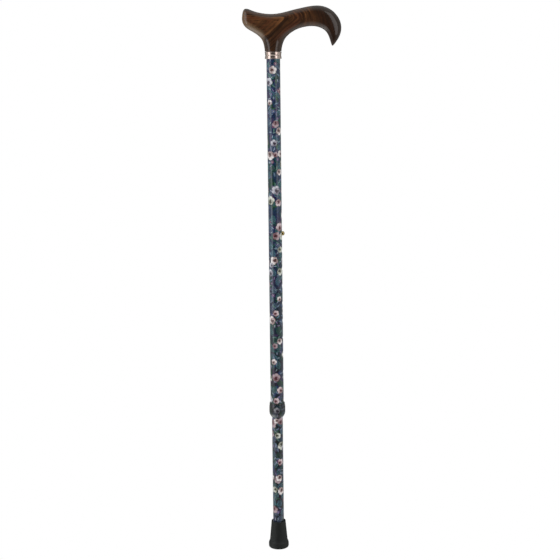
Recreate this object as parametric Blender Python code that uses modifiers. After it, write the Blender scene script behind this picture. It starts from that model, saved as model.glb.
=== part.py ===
"""Adjustable single point walking cane.

A derby handle of lacquered wood is bolted to a 3/4 inch tube. A 5/8 inch tube telescopes inside it. It is
held by a spring button in one of ten holes, and by a screw collar that squeezes a split ring. A rubber
ferrule is the foot. Units are metres and +Z is up. The origin is the middle of the ferrule's foot, on the
axis of the shaft, and the nose of the handle points along +X.
"""

import math

import bmesh
import bpy
import numpy as np

TAU = 2 * math.pi
GAP = 0.0003  # between pieces that rest on each other
MERGE = 0.00001
SHAFT_STEPS = 40  # sides of the large round pieces
SMALL_STEPS = 24  # sides of the small round pieces
SHARP_ANGLE = math.radians(35)

# Tubes
UPPER_RADIUS = 0.009525
LOWER_RADIUS = 0.00795
TUBE_WALL = 0.0012
UPPER_BORE = UPPER_RADIUS - TUBE_WALL
LOWER_BORE = LOWER_RADIUS - TUBE_WALL
UPPER_BOTTOM = 0.209
UPPER_TOP = 0.7222
LOWER_BOTTOM = 0.0121
LOWER_TOP = 0.505

# Height adjustment
HOLE_PITCH = 0.0254
HOLE_COUNT = 10
HOLE_RADIUS = 0.0033
HOLE_SIDES = 16
HOLE_CUT = (0.0055, 0.012)  # the cutters reach through one wall only
BUTTON_Z = 0.473
HOLES_ABOVE = 1  # holes above the one in use
BUTTON_RADIUS = 0.003
BUTTON_FLANGE_RADIUS = 0.0038
BUTTON_BACK_X = 0.0042
BUTTON_FLANGE_X = 0.0052
BUTTON_SHOULDER_X = 0.0111
BUTTON_TIP_X = 0.0133
DOME_STEPS = 5

# Spring clip
CLIP_THICKNESS = 0.0006
CLIP_WIDTH = 0.006
CLIP_BUTTON_LEG_X = 0.0036
CLIP_WALL_LEG_X = -0.0053
CLIP_TOP = 0.479
CLIP_KNEE = 0.466
CLIP_BEND_Z = 0.443
CLIP_BEND_RADIUS = 0.0022
CLIP_BEND_STEPS = 8

# Screw collar, its thread and the split ring
THREAD_PITCH = 0.003
THREAD_STEPS = 20
THREAD_CENTRE = 0.00945
RIDGE_WIRE = 0.00065
GROOVE_WIRE = 0.00095
THREAD_START = 0.211
RIDGE_TURNS = 3
GROOVE_TURNS_BELOW = 1
GROOVE_TURNS = 6
COLLAR_BOTTOM = 0.2023
COLLAR_TOP = 0.2235
COLLAR_RADIUS = 0.01165
COLLAR_BORE = UPPER_RADIUS + GAP
COLLAR_MOUTH = LOWER_RADIUS + 0.0004
COLLAR_CONE_BOTTOM = COLLAR_BOTTOM + 0.0011
COLLAR_CONE_TOP = COLLAR_CONE_BOTTOM + 0.0028
# The collar's outside: how far below its top and how far inside its radius each point is.
COLLAR_OUTSIDE = (
    (0.0003, 0.0008),
    (0.0014, 0.0006),
    (0.0034, 0.0004),
    (0.0056, 0.0001),
    (0.0075, 0.0),
    (0.0132, 0.0),
    (0.0148, 0.0003),
    (0.0162, 0.0007),
    (0.0176, 0.0013),
    (0.0190, 0.0019),
    (0.0203, 0.0025),
    (0.0212, 0.0029),
)
RING_TOP = 0.2086
RING_BOTTOM = 0.2048
RING_BORE = LOWER_RADIUS + GAP
RING_RADIUS = 0.0095
RING_SPLIT = 0.0015

# Ferrule
FERRULE_TOP = 0.041
FOOT_RADIUS = 0.01485
CONE_RADIUS = 0.0131
RIM_RADIUS = 0.0104
SOCKET_FLOOR = 0.010
SOCKET_RADIUS = LOWER_RADIUS + GAP
TREAD_DEPTH = 0.0015
TREAD_GROOVES = ((0.011, 0.0096), (0.0066, 0.0052))  # outer and inner radius of each
FERRULE_WASHER_THICKNESS = 0.0015

# Handle joint
NECK_COLLAR_BOTTOM = 0.7178
NECK_COLLAR_TOP = 0.7275
NECK_COLLAR_RADIUS = 0.0116
NECK_COLLAR_BORE = 0.00985
SPIGOT_RADIUS = 0.0095
SPIGOT_BOTTOM = UPPER_TOP + GAP
STUD_RADIUS = 0.004
STUD_BORE = STUD_RADIUS + GAP
STUD_BOTTOM = 0.679
STUD_TOP = 0.757
PLUG_BOTTOM = 0.690
PLUG_TOP = 0.7219
WASHER_THICKNESS = 0.0015
NUT_HEIGHT = 0.0065
NUT_FLATS = 0.013

# Derby handle: sections from the tail to the nose, in millimetres. Each has its outer and its inner point,
# as x and height above the neck collar, and its half width.
HANDLE_SECTIONS = (
    ((-41.8, 52.0), (-42.6, 45.8), 4.0),
    ((-39.8, 57.5), (-41.8, 40.0), 8.2),
    ((-33.6, 58.1), (-36.8, 32.8), 10.7),
    ((-22.0, 53.9), (-24.4, 27.2), 11.9),
    ((1.0, 51.2), (1.0, 23.0), 12.4),
    ((23.0, 55.3), (24.6, 27.3), 12.4),
    ((37.5, 58.6), (38.0, 31.9), 12.1),
    ((52.0, 61.3), (51.5, 34.2), 11.8),
    ((66.0, 61.6), (63.0, 32.9), 11.3),
    ((78.6, 57.3), (71.5, 28.6), 10.6),
    ((88.1, 48.9), (76.2, 22.6), 9.6),
    ((93.9, 37.3), (78.8, 16.0), 8.2),
    ((93.3, 23.5), (80.3, 11.0), 6.4),
    ((87.6, 12.8), (81.4, 7.8), 4.4),
)
NOSE_TIP = (82.4, 6.3)
NECK_SECTION = 4  # the section over the middle of the neck
# Neck rings below it, in millimetres: centre x, half length, half width and height above the neck collar.
NECK_RINGS = (
    (0.4, 14.6, 12.0, 16.5),
    (0.1, 12.5, 11.7, 7.5),
    (0.0, 11.6, 11.5, 0.8),
    (0.0, 11.4, 11.4, -7.0),
)
CORNER_OUT = 0.72  # how far a section's corners reach from its middle to its outer and inner points
CORNER_SIDE = 0.84  # and to its sides
CAGE_PASSES = 4
HANDLE_LEVELS = 2
MM = 0.001


def clear_scene():
    for obj in list(bpy.data.objects):
        bpy.data.objects.remove(obj)


def new_collection(name):
    collection = bpy.data.collections.new(name)
    bpy.context.scene.collection.children.link(collection)
    return collection


def finish(name, colour, roughness, metallic=0.0):
    """A plain material of one colour."""
    material = bpy.data.materials.new(name)
    material.use_nodes = True
    shader = material.node_tree.nodes["Principled BSDF"]
    shader.inputs["Base Color"].default_value = (*colour, 1.0)
    shader.inputs["Roughness"].default_value = roughness
    shader.inputs["Metallic"].default_value = metallic
    return material


def axis_empty(name, height, collection):
    """An empty on the shaft's axis, which carries the pieces that move together."""
    empty = bpy.data.objects.new(name, None)
    collection.objects.link(empty)
    empty.location.z = height
    return empty


def add_piece(name, mesh, collection, material=None, carrier=None):
    """A new object, modelled in the object's own frame and carried by an empty."""
    obj = bpy.data.objects.new(name, mesh)
    collection.objects.link(obj)
    if material:
        mesh.materials.append(material)
    if carrier:
        bpy.context.view_layer.update()
        obj.parent = carrier
        obj.matrix_parent_inverse = carrier.matrix_world.inverted()
    return obj


def hide_cutter(obj):
    obj.hide_render = True
    obj.display_type = "WIRE"
    return obj


def boolean(obj, other, operation):
    modifier = obj.modifiers.new(operation.title(), "BOOLEAN")
    modifier.operation = operation
    modifier.object = other


def turned(name, profile, steps, collection, ring=False, material=None, carrier=None):
    """A solid of revolution about Z. The profile's (radius, height) points run down its outer side, and the
    profile of a ring comes back up the inner side to its first point."""
    mesh = bpy.data.meshes.new(name)
    count = len(profile)
    edges = [(i, (i + 1) % count) for i in range(count if ring else count - 1)]
    mesh.from_pydata([(radius, 0.0, height) for radius, height in profile], edges, [])
    obj = add_piece(name, mesh, collection, material, carrier)
    screw = obj.modifiers.new("Turn", "SCREW")
    screw.steps = screw.render_steps = steps
    screw.use_merge_vertices = True
    screw.merge_threshold = MERGE
    return obj


def tube_profile(outer, inner, bottom, top):
    return [(outer, top), (outer, bottom), (inner, bottom), (inner, top)]


def rod_profile(radius, bottom, top, chamfer=0.0):
    return [
        (0.0, top),
        (radius - chamfer, top),
        (radius, top - chamfer),
        (radius, bottom + chamfer),
        (radius - chamfer, bottom),
        (0.0, bottom),
    ]


def helix(name, wire, first_turn, turns, collection):
    """A round wire wound right-handed round the shaft, as a closed mesh."""
    curve = bpy.data.curves.new(name, "CURVE")
    curve.dimensions = "3D"
    curve.bevel_depth = wire
    curve.bevel_resolution = 2
    curve.use_fill_caps = True
    spline = curve.splines.new("POLY")
    spline.points.add(turns * THREAD_STEPS)
    for i, point in enumerate(spline.points):
        turn = first_turn + i / THREAD_STEPS
        x, y = math.cos(TAU * turn), math.sin(TAU * turn)
        point.co = (THREAD_CENTRE * x, THREAD_CENTRE * y, THREAD_START + THREAD_PITCH * turn, 1.0)
    guide = bpy.data.objects.new(name, curve)
    collection.objects.link(guide)
    graph = bpy.context.evaluated_depsgraph_get()
    mesh = bpy.data.meshes.new_from_object(guide.evaluated_get(graph))
    bpy.data.objects.remove(guide)
    shape = bmesh.new()
    shape.from_mesh(mesh)
    bmesh.ops.remove_doubles(shape, verts=shape.verts, dist=MERGE / 10)
    bmesh.ops.recalc_face_normals(shape, faces=shape.faces)
    shape.to_mesh(mesh)
    shape.free()
    mesh.name = name
    return hide_cutter(add_piece(name, mesh, collection))


def hole_cutter(name, heights, collection):
    """Short bars along X, one at each height, on the +X side of the shaft."""
    low, high = HOLE_CUT
    shape = bmesh.new()
    for height in heights:
        made = bmesh.ops.create_cone(
            shape,
            cap_ends=True,
            segments=HOLE_SIDES,
            radius1=HOLE_RADIUS,
            radius2=HOLE_RADIUS,
            depth=high - low,
        )
        for vert in made["verts"]:
            x, y, z = vert.co
            vert.co = ((low + high) / 2 + z, y, height - x)
    mesh = bpy.data.meshes.new(name)
    shape.to_mesh(mesh)
    shape.free()
    return hide_cutter(add_piece(name, mesh, collection))


def make_upper_tube(parts, cutters, material, carrier):
    tube = turned(
        "upper_tube",
        tube_profile(UPPER_RADIUS, UPPER_BORE, UPPER_BOTTOM, UPPER_TOP),
        SHAFT_STEPS,
        parts,
        ring=True,
        material=material,
        carrier=carrier,
    )
    top_hole = BUTTON_Z + HOLES_ABOVE * HOLE_PITCH
    heights = [top_hole - i * HOLE_PITCH for i in range(HOLE_COUNT)]
    boolean(tube, helix("thread_ridge", RIDGE_WIRE, 0, RIDGE_TURNS, cutters), "UNION")
    boolean(tube, hole_cutter("height_holes", heights, cutters), "DIFFERENCE")


def make_lower_tube(parts, cutters, material, carrier):
    tube = turned(
        "lower_tube",
        tube_profile(LOWER_RADIUS, LOWER_BORE, LOWER_BOTTOM, LOWER_TOP),
        SHAFT_STEPS,
        parts,
        ring=True,
        material=material,
        carrier=carrier,
    )
    boolean(tube, hole_cutter("button_hole", [BUTTON_Z], cutters), "DIFFERENCE")


def make_guide_bush(parts, material, carrier):
    """A flanged plug in the top of the lower tube, which keeps it central in the upper one."""
    flange, plug = UPPER_BORE - GAP, LOWER_BORE - GAP
    flange_bottom = LOWER_TOP + GAP
    flange_top = flange_bottom + 0.0022
    plug_bottom = LOWER_TOP - 0.009
    cup = 0.0045
    profile = [
        (cup, flange_top),
        (flange - 0.0005, flange_top),
        (flange, flange_top - 0.0005),
        (flange, flange_bottom),
        (plug, flange_bottom),
        (plug, plug_bottom + 0.0008),
        (plug - 0.0008, plug_bottom),
        (cup, plug_bottom),
    ]
    turned("guide_bush", profile, SHAFT_STEPS, parts, ring=True, material=material, carrier=carrier)


def make_snap_button(parts, material, carrier):
    """A domed pin with a flange behind it, turned about X."""
    dome = [
        (
            BUTTON_RADIUS * math.sin(0.25 * TAU * i / DOME_STEPS),
            BUTTON_SHOULDER_X
            + (BUTTON_TIP_X - BUTTON_SHOULDER_X) * math.cos(0.25 * TAU * i / DOME_STEPS),
        )
        for i in range(DOME_STEPS + 1)
    ]
    profile = dome + [
        (BUTTON_RADIUS, BUTTON_FLANGE_X),
        (BUTTON_FLANGE_RADIUS, BUTTON_FLANGE_X),
        (BUTTON_FLANGE_RADIUS, BUTTON_BACK_X),
        (0.0, BUTTON_BACK_X),
    ]
    button = turned("snap_button", profile, SMALL_STEPS, parts, material=material)
    button.parent = carrier
    button.rotation_euler.y = math.radians(90)


def clip_path():
    """The clip's side view, (x, z): down the button leg, round the bend and up the leg on the far wall."""
    middle_x = CLIP_WALL_LEG_X + CLIP_BEND_RADIUS
    bend = [
        (
            middle_x + CLIP_BEND_RADIUS * math.cos(math.pi * i / CLIP_BEND_STEPS),
            CLIP_BEND_Z - CLIP_BEND_RADIUS * math.sin(math.pi * i / CLIP_BEND_STEPS),
        )
        for i in range(CLIP_BEND_STEPS + 1)
    ]
    legs_down = [(CLIP_BUTTON_LEG_X, CLIP_TOP), (CLIP_BUTTON_LEG_X, CLIP_KNEE)]
    return legs_down + bend + [(CLIP_WALL_LEG_X, CLIP_TOP)]


def make_spring_clip(parts, material, carrier):
    """A bent strip of spring steel."""
    half = CLIP_WIDTH / 2
    path = clip_path()
    verts = [(x, y, z) for x, z in path for y in (-half, half)]
    faces = [(2 * i, 2 * i + 1, 2 * i + 3, 2 * i + 2) for i in range(len(path) - 1)]
    mesh = bpy.data.meshes.new("spring_clip")
    mesh.from_pydata(verts, [], faces)
    clip = add_piece("spring_clip", mesh, parts, material, carrier)
    solidify = clip.modifiers.new("Thickness", "SOLIDIFY")
    solidify.thickness = CLIP_THICKNESS
    solidify.offset = 0.0
    solidify.use_even_offset = True


def make_lock_collar(parts, cutters, material, carrier):
    """A barrel-shaped nut with a rounded thread, a cone for the ring, and a lip round the lower tube."""
    edge = 0.0004
    outer = [(COLLAR_BORE + edge, COLLAR_TOP)]
    outer += [(COLLAR_RADIUS - inside, COLLAR_TOP - below) for below, inside in COLLAR_OUTSIDE]
    inner = [
        (COLLAR_MOUTH, COLLAR_BOTTOM),
        (COLLAR_MOUTH, COLLAR_CONE_BOTTOM),
        (COLLAR_BORE, COLLAR_CONE_TOP),
        (COLLAR_BORE, COLLAR_TOP - edge),
    ]
    collar = turned(
        "lock_collar", outer + inner, SHAFT_STEPS, parts, ring=True, material=material, carrier=carrier
    )
    groove = helix("thread_groove", GROOVE_WIRE, -GROOVE_TURNS_BELOW, GROOVE_TURNS, cutters)
    boolean(collar, groove, "DIFFERENCE")


def make_grip_ring(parts, cutters, material, carrier):
    """A split ring whose lower edge is a cone. The collar pushes it against the end of the upper tube."""
    profile = [
        (RING_RADIUS, RING_TOP),
        (RING_RADIUS, RING_BOTTOM + 0.0015),
        (RING_RADIUS - 0.0007, RING_BOTTOM),
        (RING_BORE, RING_BOTTOM),
        (RING_BORE, RING_TOP),
    ]
    ring = turned("grip_ring", profile, SHAFT_STEPS, parts, ring=True, material=material, carrier=carrier)
    shape = bmesh.new()
    bmesh.ops.create_cube(shape, size=1.0)
    for vert in shape.verts:
        x, y, z = vert.co
        vert.co = (-RING_RADIUS + 0.006 * x, RING_SPLIT * y, (RING_BOTTOM + RING_TOP) / 2 + 0.010 * z)
    mesh = bpy.data.meshes.new("ring_split")
    shape.to_mesh(mesh)
    shape.free()
    boolean(ring, hide_cutter(add_piece("ring_split", mesh, cutters)), "DIFFERENCE")


def make_ferrule(parts, material, carrier):
    """A rubber foot: a socket for the tube, a cone, a wider foot and ring grooves underneath."""
    socket = [
        (0.0, SOCKET_FLOOR),
        (SOCKET_RADIUS, SOCKET_FLOOR),
        (SOCKET_RADIUS, FERRULE_TOP - 0.0016),
        (SOCKET_RADIUS + 0.0009, FERRULE_TOP),
    ]
    outside = [
        (RIM_RADIUS - 0.0006, FERRULE_TOP),
        (RIM_RADIUS, FERRULE_TOP - 0.0008),
        (CONE_RADIUS, 0.0115),
        (CONE_RADIUS + 0.0005, 0.0098),
        (FOOT_RADIUS - 0.0004, 0.0082),
        (FOOT_RADIUS, 0.0064),
        (FOOT_RADIUS, 0.0034),
        (FOOT_RADIUS - 0.0005, 0.0016),
        (FOOT_RADIUS - 0.0014, 0.0005),
        (FOOT_RADIUS - 0.0025, 0.0),
    ]
    tread = []
    for outer, inner in TREAD_GROOVES:
        tread += [(outer, 0.0), (outer, TREAD_DEPTH), (inner, TREAD_DEPTH), (inner, 0.0)]
    profile = socket + outside + tread + [(0.0, 0.0)]
    turned("rubber_ferrule", profile, SHAFT_STEPS, parts, material=material, carrier=carrier)


def make_ferrule_washer(parts, material, carrier):
    """A steel disc on the socket's floor, which keeps the tube from cutting through the rubber."""
    bottom = SOCKET_FLOOR + GAP
    profile = rod_profile(LOWER_RADIUS - GAP, bottom, bottom + FERRULE_WASHER_THICKNESS, 0.0002)
    turned("ferrule_washer", profile, SHAFT_STEPS, parts, material=material, carrier=carrier)


def make_neck_collar(parts, material, carrier):
    """A polished band with a shallow groove round its middle and a rolled edge at each end."""
    middle = (NECK_COLLAR_BOTTOM + NECK_COLLAR_TOP) / 2
    edge, groove = 0.0006, 0.0007
    profile = [
        (NECK_COLLAR_RADIUS - edge, NECK_COLLAR_TOP),
        (NECK_COLLAR_RADIUS, NECK_COLLAR_TOP - edge),
        (NECK_COLLAR_RADIUS, middle + groove),
        (NECK_COLLAR_RADIUS - 0.0004, middle),
        (NECK_COLLAR_RADIUS, middle - groove),
        (NECK_COLLAR_RADIUS, NECK_COLLAR_BOTTOM + edge),
        (NECK_COLLAR_RADIUS - edge, NECK_COLLAR_BOTTOM),
        (NECK_COLLAR_BORE, NECK_COLLAR_BOTTOM),
        (NECK_COLLAR_BORE, NECK_COLLAR_TOP),
    ]
    turned("neck_collar", profile, SHAFT_STEPS, parts, ring=True, material=material, carrier=carrier)


def make_handle_fixing(parts, cutters, steel, nylon, carrier):
    """The stud in the handle, and the plug, washer and nut that draw it down into the upper tube."""
    turned(
        "handle_stud",
        rod_profile(STUD_RADIUS, STUD_BOTTOM, STUD_TOP, 0.0008),
        SMALL_STEPS,
        parts,
        material=steel,
        carrier=carrier,
    )
    plug = tube_profile(UPPER_BORE - GAP, STUD_BORE, PLUG_BOTTOM, PLUG_TOP)
    turned("top_plug", plug, SHAFT_STEPS, parts, ring=True, material=nylon, carrier=carrier)
    washer_top = PLUG_BOTTOM - GAP
    washer_bottom = washer_top - WASHER_THICKNESS
    washer = tube_profile(UPPER_BORE - 2 * GAP, STUD_BORE, washer_bottom, washer_top)
    turned("plug_washer", washer, SHAFT_STEPS, parts, ring=True, material=steel, carrier=carrier)
    make_plug_nut(washer_bottom - GAP, parts, cutters, steel, carrier)


def make_plug_nut(top, parts, cutters, material, carrier):
    shape = bmesh.new()
    corner = NUT_FLATS / 2 / math.cos(math.pi / 6)
    bmesh.ops.create_cone(
        shape, cap_ends=True, segments=6, radius1=corner, radius2=corner, depth=NUT_HEIGHT
    )
    bmesh.ops.translate(shape, verts=shape.verts, vec=(0.0, 0.0, top - NUT_HEIGHT / 2))
    mesh = bpy.data.meshes.new("plug_nut")
    shape.to_mesh(mesh)
    shape.free()
    nut = add_piece("plug_nut", mesh, parts, material, carrier)
    bore = rod_profile(STUD_BORE, top - 2 * NUT_HEIGHT, top + NUT_HEIGHT)
    boolean(nut, hide_cutter(turned("nut_bore", bore, SMALL_STEPS, cutters)), "DIFFERENCE")


def section_ring(outer, inner, half_width):
    """Eight points round one handle section: outer, then round by the front to inner and back."""
    outer, inner = np.array([outer[0], 0.0, outer[1]]), np.array([inner[0], 0.0, inner[1]])
    middle, reach, side = (outer + inner) / 2, (outer - inner) / 2, np.array([0.0, -half_width, 0.0])
    around = (
        (1, 0),
        (CORNER_OUT, CORNER_SIDE),
        (0, 1),
        (-CORNER_OUT, CORNER_SIDE),
        (-1, 0),
        (-CORNER_OUT, -CORNER_SIDE),
        (0, -1),
        (CORNER_OUT, -CORNER_SIDE),
    )
    return [middle + out * reach + across * side for out, across in around]


def cubic_limit(points, axis, ends):
    """Where a Catmull-Clark surface passes for a regular row of cage points."""
    before, after = np.roll(points, 1, axis), np.roll(points, -1, axis)
    if ends:
        before[0], after[-1] = points[0], points[-1]
    return (before + 4 * points + after) / 6


def fitted_cage(rings):
    """The cage pushed out until its smooth surface passes through the rings' points."""
    target = np.array(rings)
    cage = target.copy()
    for _ in range(CAGE_PASSES):
        limit = cubic_limit(cubic_limit(cage, 0, True), 1, False)
        cage += target - limit
    return cage


def neck_ring(centre_x, half_length, half_width, height):
    """Eight points round the neck, starting at the tail side and going round by the back."""
    turn = [TAU / 2 - TAU * k / 8 for k in range(8)]
    return [
        np.array([centre_x + half_length * math.cos(a), half_width * math.sin(a), height]) for a in turn
    ]


def handle_cage():
    """(points, faces) of the coarse cage: a bar of eight-sided sections, with an eight-sided neck below."""
    bar = fitted_cage([section_ring(*section) for section in HANDLE_SECTIONS])
    neck = fitted_cage([neck_ring(*ring) for ring in NECK_RINGS])
    points = [tuple(point) for ring in bar for point in ring]
    count = len(bar)
    before, over, after = NECK_SECTION - 1, NECK_SECTION, NECK_SECTION + 1
    faces = []
    for i in range(count - 1):
        for k in range(8):
            if i in (before, over) and k in (3, 4):
                continue
            faces.append((8 * i + k, 8 * i + (k + 1) % 8, 8 * i + 8 + (k + 1) % 8, 8 * i + 8 + k))
    faces.append(tuple(reversed(range(8))))
    points.append((NOSE_TIP[0], 0.0, NOSE_TIP[1]))
    nose, last = len(points) - 1, 8 * (count - 1)
    faces += [(last + 2 * k, last + 2 * k + 1, last + (2 * k + 2) % 8, nose) for k in range(4)]
    rim = [
        8 * before + 4,
        8 * before + 5,
        8 * over + 5,
        8 * after + 5,
        8 * after + 4,
        8 * after + 3,
        8 * over + 3,
        8 * before + 3,
    ]
    for ring in neck:
        first = len(points)
        points += [tuple(point) for point in ring]
        lower = list(range(first, first + 8))
        faces += [(rim[k], rim[(k + 1) % 8], lower[(k + 1) % 8], lower[k]) for k in range(8)]
        rim = lower
    faces.append(tuple(rim))
    return points, faces


def make_handle(parts, cutters, material, carrier):
    """The wooden handle, with its spigot turned down and its bore drilled for the stud."""
    points, faces = handle_cage()
    shape = bmesh.new()
    verts = [shape.verts.new((x * MM, y * MM, NECK_COLLAR_TOP + z * MM)) for x, y, z in points]
    for face in faces:
        shape.faces.new([verts[i] for i in face])
    loose = [vert for vert in shape.verts if not vert.link_faces]
    bmesh.ops.delete(shape, geom=loose, context="VERTS")
    bmesh.ops.recalc_face_normals(shape, faces=shape.faces)
    mesh = bpy.data.meshes.new("derby_handle")
    shape.to_mesh(mesh)
    shape.free()
    handle = add_piece("derby_handle", mesh, parts, material, carrier)
    smooth = handle.modifiers.new("Smooth", "SUBSURF")
    smooth.levels = smooth.render_levels = HANDLE_LEVELS
    clear, far = 0.02, 0.03
    waste = [
        (0.0, STUD_TOP + GAP),
        (STUD_BORE, STUD_TOP + GAP),
        (STUD_BORE, SPIGOT_BOTTOM),
        (SPIGOT_RADIUS, SPIGOT_BOTTOM),
        (SPIGOT_RADIUS, NECK_COLLAR_TOP + GAP),
        (clear, NECK_COLLAR_TOP + GAP),
        (clear, NECK_COLLAR_TOP - far),
        (0.0, NECK_COLLAR_TOP - far),
    ]
    cutter = hide_cutter(turned("handle_waste", waste, SHAFT_STEPS, cutters))
    boolean(handle, cutter, "DIFFERENCE")


def shade_round(parts):
    """Each piece becomes its finished mesh, smooth except along its real edges."""
    bpy.context.view_layer.update()
    graph = bpy.context.evaluated_depsgraph_get()
    pieces = [obj for obj in parts.objects if obj.data]
    finished = [bpy.data.meshes.new_from_object(obj.evaluated_get(graph)) for obj in pieces]
    for obj, mesh in zip(pieces, finished):
        obj.modifiers.clear()
        obj.data = mesh
        mesh.name = obj.name
        mesh.shade_smooth()
        mesh.set_sharp_from_angle(angle=SHARP_ANGLE)


def main():
    clear_scene()
    parts = new_collection("single_point_cane")
    cutters = new_collection("cutters")
    wood = finish("lacquered_wood", (0.060, 0.022, 0.009), 0.18)
    rose_gold = finish("rose_gold_band", (0.72, 0.42, 0.33), 0.12, 1.0)
    print_upper = finish("floral_print_upper", (0.045, 0.070, 0.110), 0.25)
    print_lower = finish("floral_print_lower", (0.060, 0.080, 0.095), 0.25)
    print_collar = finish("floral_print_collar", (0.050, 0.070, 0.080), 0.25)
    brass = finish("brass", (0.55, 0.42, 0.16), 0.3, 1.0)
    rubber = finish("black_rubber", (0.018, 0.019, 0.018), 0.75)
    steel = finish("zinc_plated_steel", (0.60, 0.60, 0.62), 0.35, 1.0)
    spring_steel = finish("spring_steel", (0.35, 0.36, 0.38), 0.3, 1.0)
    nylon = finish("white_nylon", (0.72, 0.72, 0.68), 0.5)
    black_nylon = finish("black_nylon", (0.03, 0.03, 0.03), 0.5)

    upper = axis_empty("upper_shaft_axis", UPPER_BOTTOM, parts)
    lower = axis_empty("lower_shaft_axis", 0.0, parts)
    squeeze = axis_empty("grip_ring_axis", RING_TOP, parts)
    screw = axis_empty("lock_collar_axis", THREAD_START, parts)
    button = axis_empty("snap_button_axis", BUTTON_Z, parts)

    make_handle(parts, cutters, wood, upper)
    make_handle_fixing(parts, cutters, steel, nylon, upper)
    make_neck_collar(parts, rose_gold, upper)
    make_upper_tube(parts, cutters, print_upper, upper)
    make_lock_collar(parts, cutters, print_collar, screw)
    make_grip_ring(parts, cutters, black_nylon, squeeze)
    make_lower_tube(parts, cutters, print_lower, lower)
    make_guide_bush(parts, nylon, lower)
    make_spring_clip(parts, spring_steel, lower)
    make_snap_button(parts, brass, button)
    make_ferrule(parts, rubber, lower)
    make_ferrule_washer(parts, steel, lower)
    shade_round(parts)


main()
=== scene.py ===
"""Looks of the adjustable single point walking cane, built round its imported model.

Units are metres and +Z is up, except where a name ends in _MM or a comment says millimetres. The origin is
the middle of the ferrule's foot, on the axis of the shaft, and the nose of the handle points along +X.
"""

import math

import bmesh
import bpy
import numpy as np
from mathutils import Matrix, Vector


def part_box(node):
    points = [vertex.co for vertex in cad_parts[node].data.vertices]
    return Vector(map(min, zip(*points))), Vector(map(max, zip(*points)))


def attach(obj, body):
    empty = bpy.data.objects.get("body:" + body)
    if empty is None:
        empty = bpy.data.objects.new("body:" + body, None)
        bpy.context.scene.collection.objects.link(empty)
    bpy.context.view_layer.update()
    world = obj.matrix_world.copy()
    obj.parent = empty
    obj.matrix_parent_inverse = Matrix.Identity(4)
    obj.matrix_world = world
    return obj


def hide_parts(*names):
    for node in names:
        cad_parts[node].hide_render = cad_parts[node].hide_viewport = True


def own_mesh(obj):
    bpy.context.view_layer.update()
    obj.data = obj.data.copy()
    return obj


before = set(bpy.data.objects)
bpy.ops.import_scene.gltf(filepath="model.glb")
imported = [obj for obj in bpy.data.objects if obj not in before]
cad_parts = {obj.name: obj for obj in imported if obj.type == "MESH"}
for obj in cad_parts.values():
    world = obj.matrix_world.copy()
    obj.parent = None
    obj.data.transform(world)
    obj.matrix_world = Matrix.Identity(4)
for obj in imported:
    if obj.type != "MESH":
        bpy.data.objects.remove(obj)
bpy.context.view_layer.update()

TAU = 2 * math.pi
MM = 0.001
GAP = 0.0003
MERGE = 0.000005
ROUND_STEPS = 96  # sides of the large round pieces
SMALL_STEPS = 48  # sides of the small round pieces
FILLET_STEPS = 5
SHARP_ANGLE = math.radians(40)
EDGE = 0.0002  # the usual small rounding of an edge


def heights_of(node):
    """The heights of the node's bottom and top."""
    return [corner.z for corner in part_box(node)]


def radius_of(node):
    """Half the node's width across the shaft, which is its radius where the node is round."""
    low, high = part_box(node)
    return (high.y - low.y) / 2


# Tubes
UPPER_RADIUS = 0.009525
LOWER_RADIUS = 0.00795
TUBE_WALL = 0.0012
UPPER_BORE = UPPER_RADIUS - TUBE_WALL
UPPER_BOTTOM, UPPER_TOP = heights_of("upper_tube")
LOWER_BOTTOM, LOWER_TOP = heights_of("lower_tube")
HOLE_PITCH = 0.0254
HOLE_COUNT = 10
HOLE_RADIUS = 0.0033
HOLE_FLARE = 0.0003  # the chamfer round each hole
BUTTON_Z = 0.473
HOLES_ABOVE = 1

# Screw collar and its thread
THREAD_PITCH = 0.003
THREAD_STEPS = 48
THREAD_CENTRE = 0.00945
THREAD_START = 0.211
RIDGE_WIRE = 0.00065
RIDGE_TURNS = 3
GROOVE_WIRE = 0.00095
GROOVE_TURNS_BELOW = 1
GROOVE_TURNS = 6
COLLAR_BOTTOM, COLLAR_TOP = heights_of("lock_collar")
COLLAR_RADIUS = radius_of("lock_collar")
COLLAR_BORE = UPPER_RADIUS + GAP
COLLAR_MOUTH = LOWER_RADIUS + 0.0004
CONE_BOTTOM = COLLAR_BOTTOM + 0.0011
CONE_TOP = CONE_BOTTOM + 0.0028
# The collar's outside: how far below its top and how far inside its radius each point is.
COLLAR_OUTSIDE = (
    (0.0003, 0.0008), (0.0014, 0.0006), (0.0034, 0.0004), (0.0056, 0.0001),
    (0.0075, 0.0), (0.0136, 0.0), (0.0152, 0.0002), (0.0166, 0.0005),
    (0.018, 0.001), (0.0193, 0.0017), (0.0205, 0.0024), (0.0212, 0.0029),
)

# Ferrule
FERRULE_TOP = heights_of("rubber_ferrule")[1]
FOOT_RADIUS = radius_of("rubber_ferrule")
RIM_RADIUS = 0.0104
# The outside from the bottom of its cone down to its sole: radius and height.
FERRULE_FOOT = (
    (0.0131, 0.0115),
    (0.0136, 0.0098),
    (FOOT_RADIUS - 0.0004, 0.0082),
    (FOOT_RADIUS, 0.0064),
    (FOOT_RADIUS, 0.0017),
    (FOOT_RADIUS - 0.0004, 0.0005),
    (FOOT_RADIUS - 0.0013, 0.0),
)
SOCKET_FLOOR = 0.01
SOCKET_RADIUS = LOWER_RADIUS + GAP
TREAD_DEPTH = 0.0015
TREAD_GROOVES = ((0.011, 0.0096), (0.0066, 0.0052))  # outer and inner radius of each

# Neck collar, a polished band
BAND_BOTTOM, BAND_TOP = heights_of("neck_collar")
BAND_RADIUS = radius_of("neck_collar")
BAND_BORE = 0.00985

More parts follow.
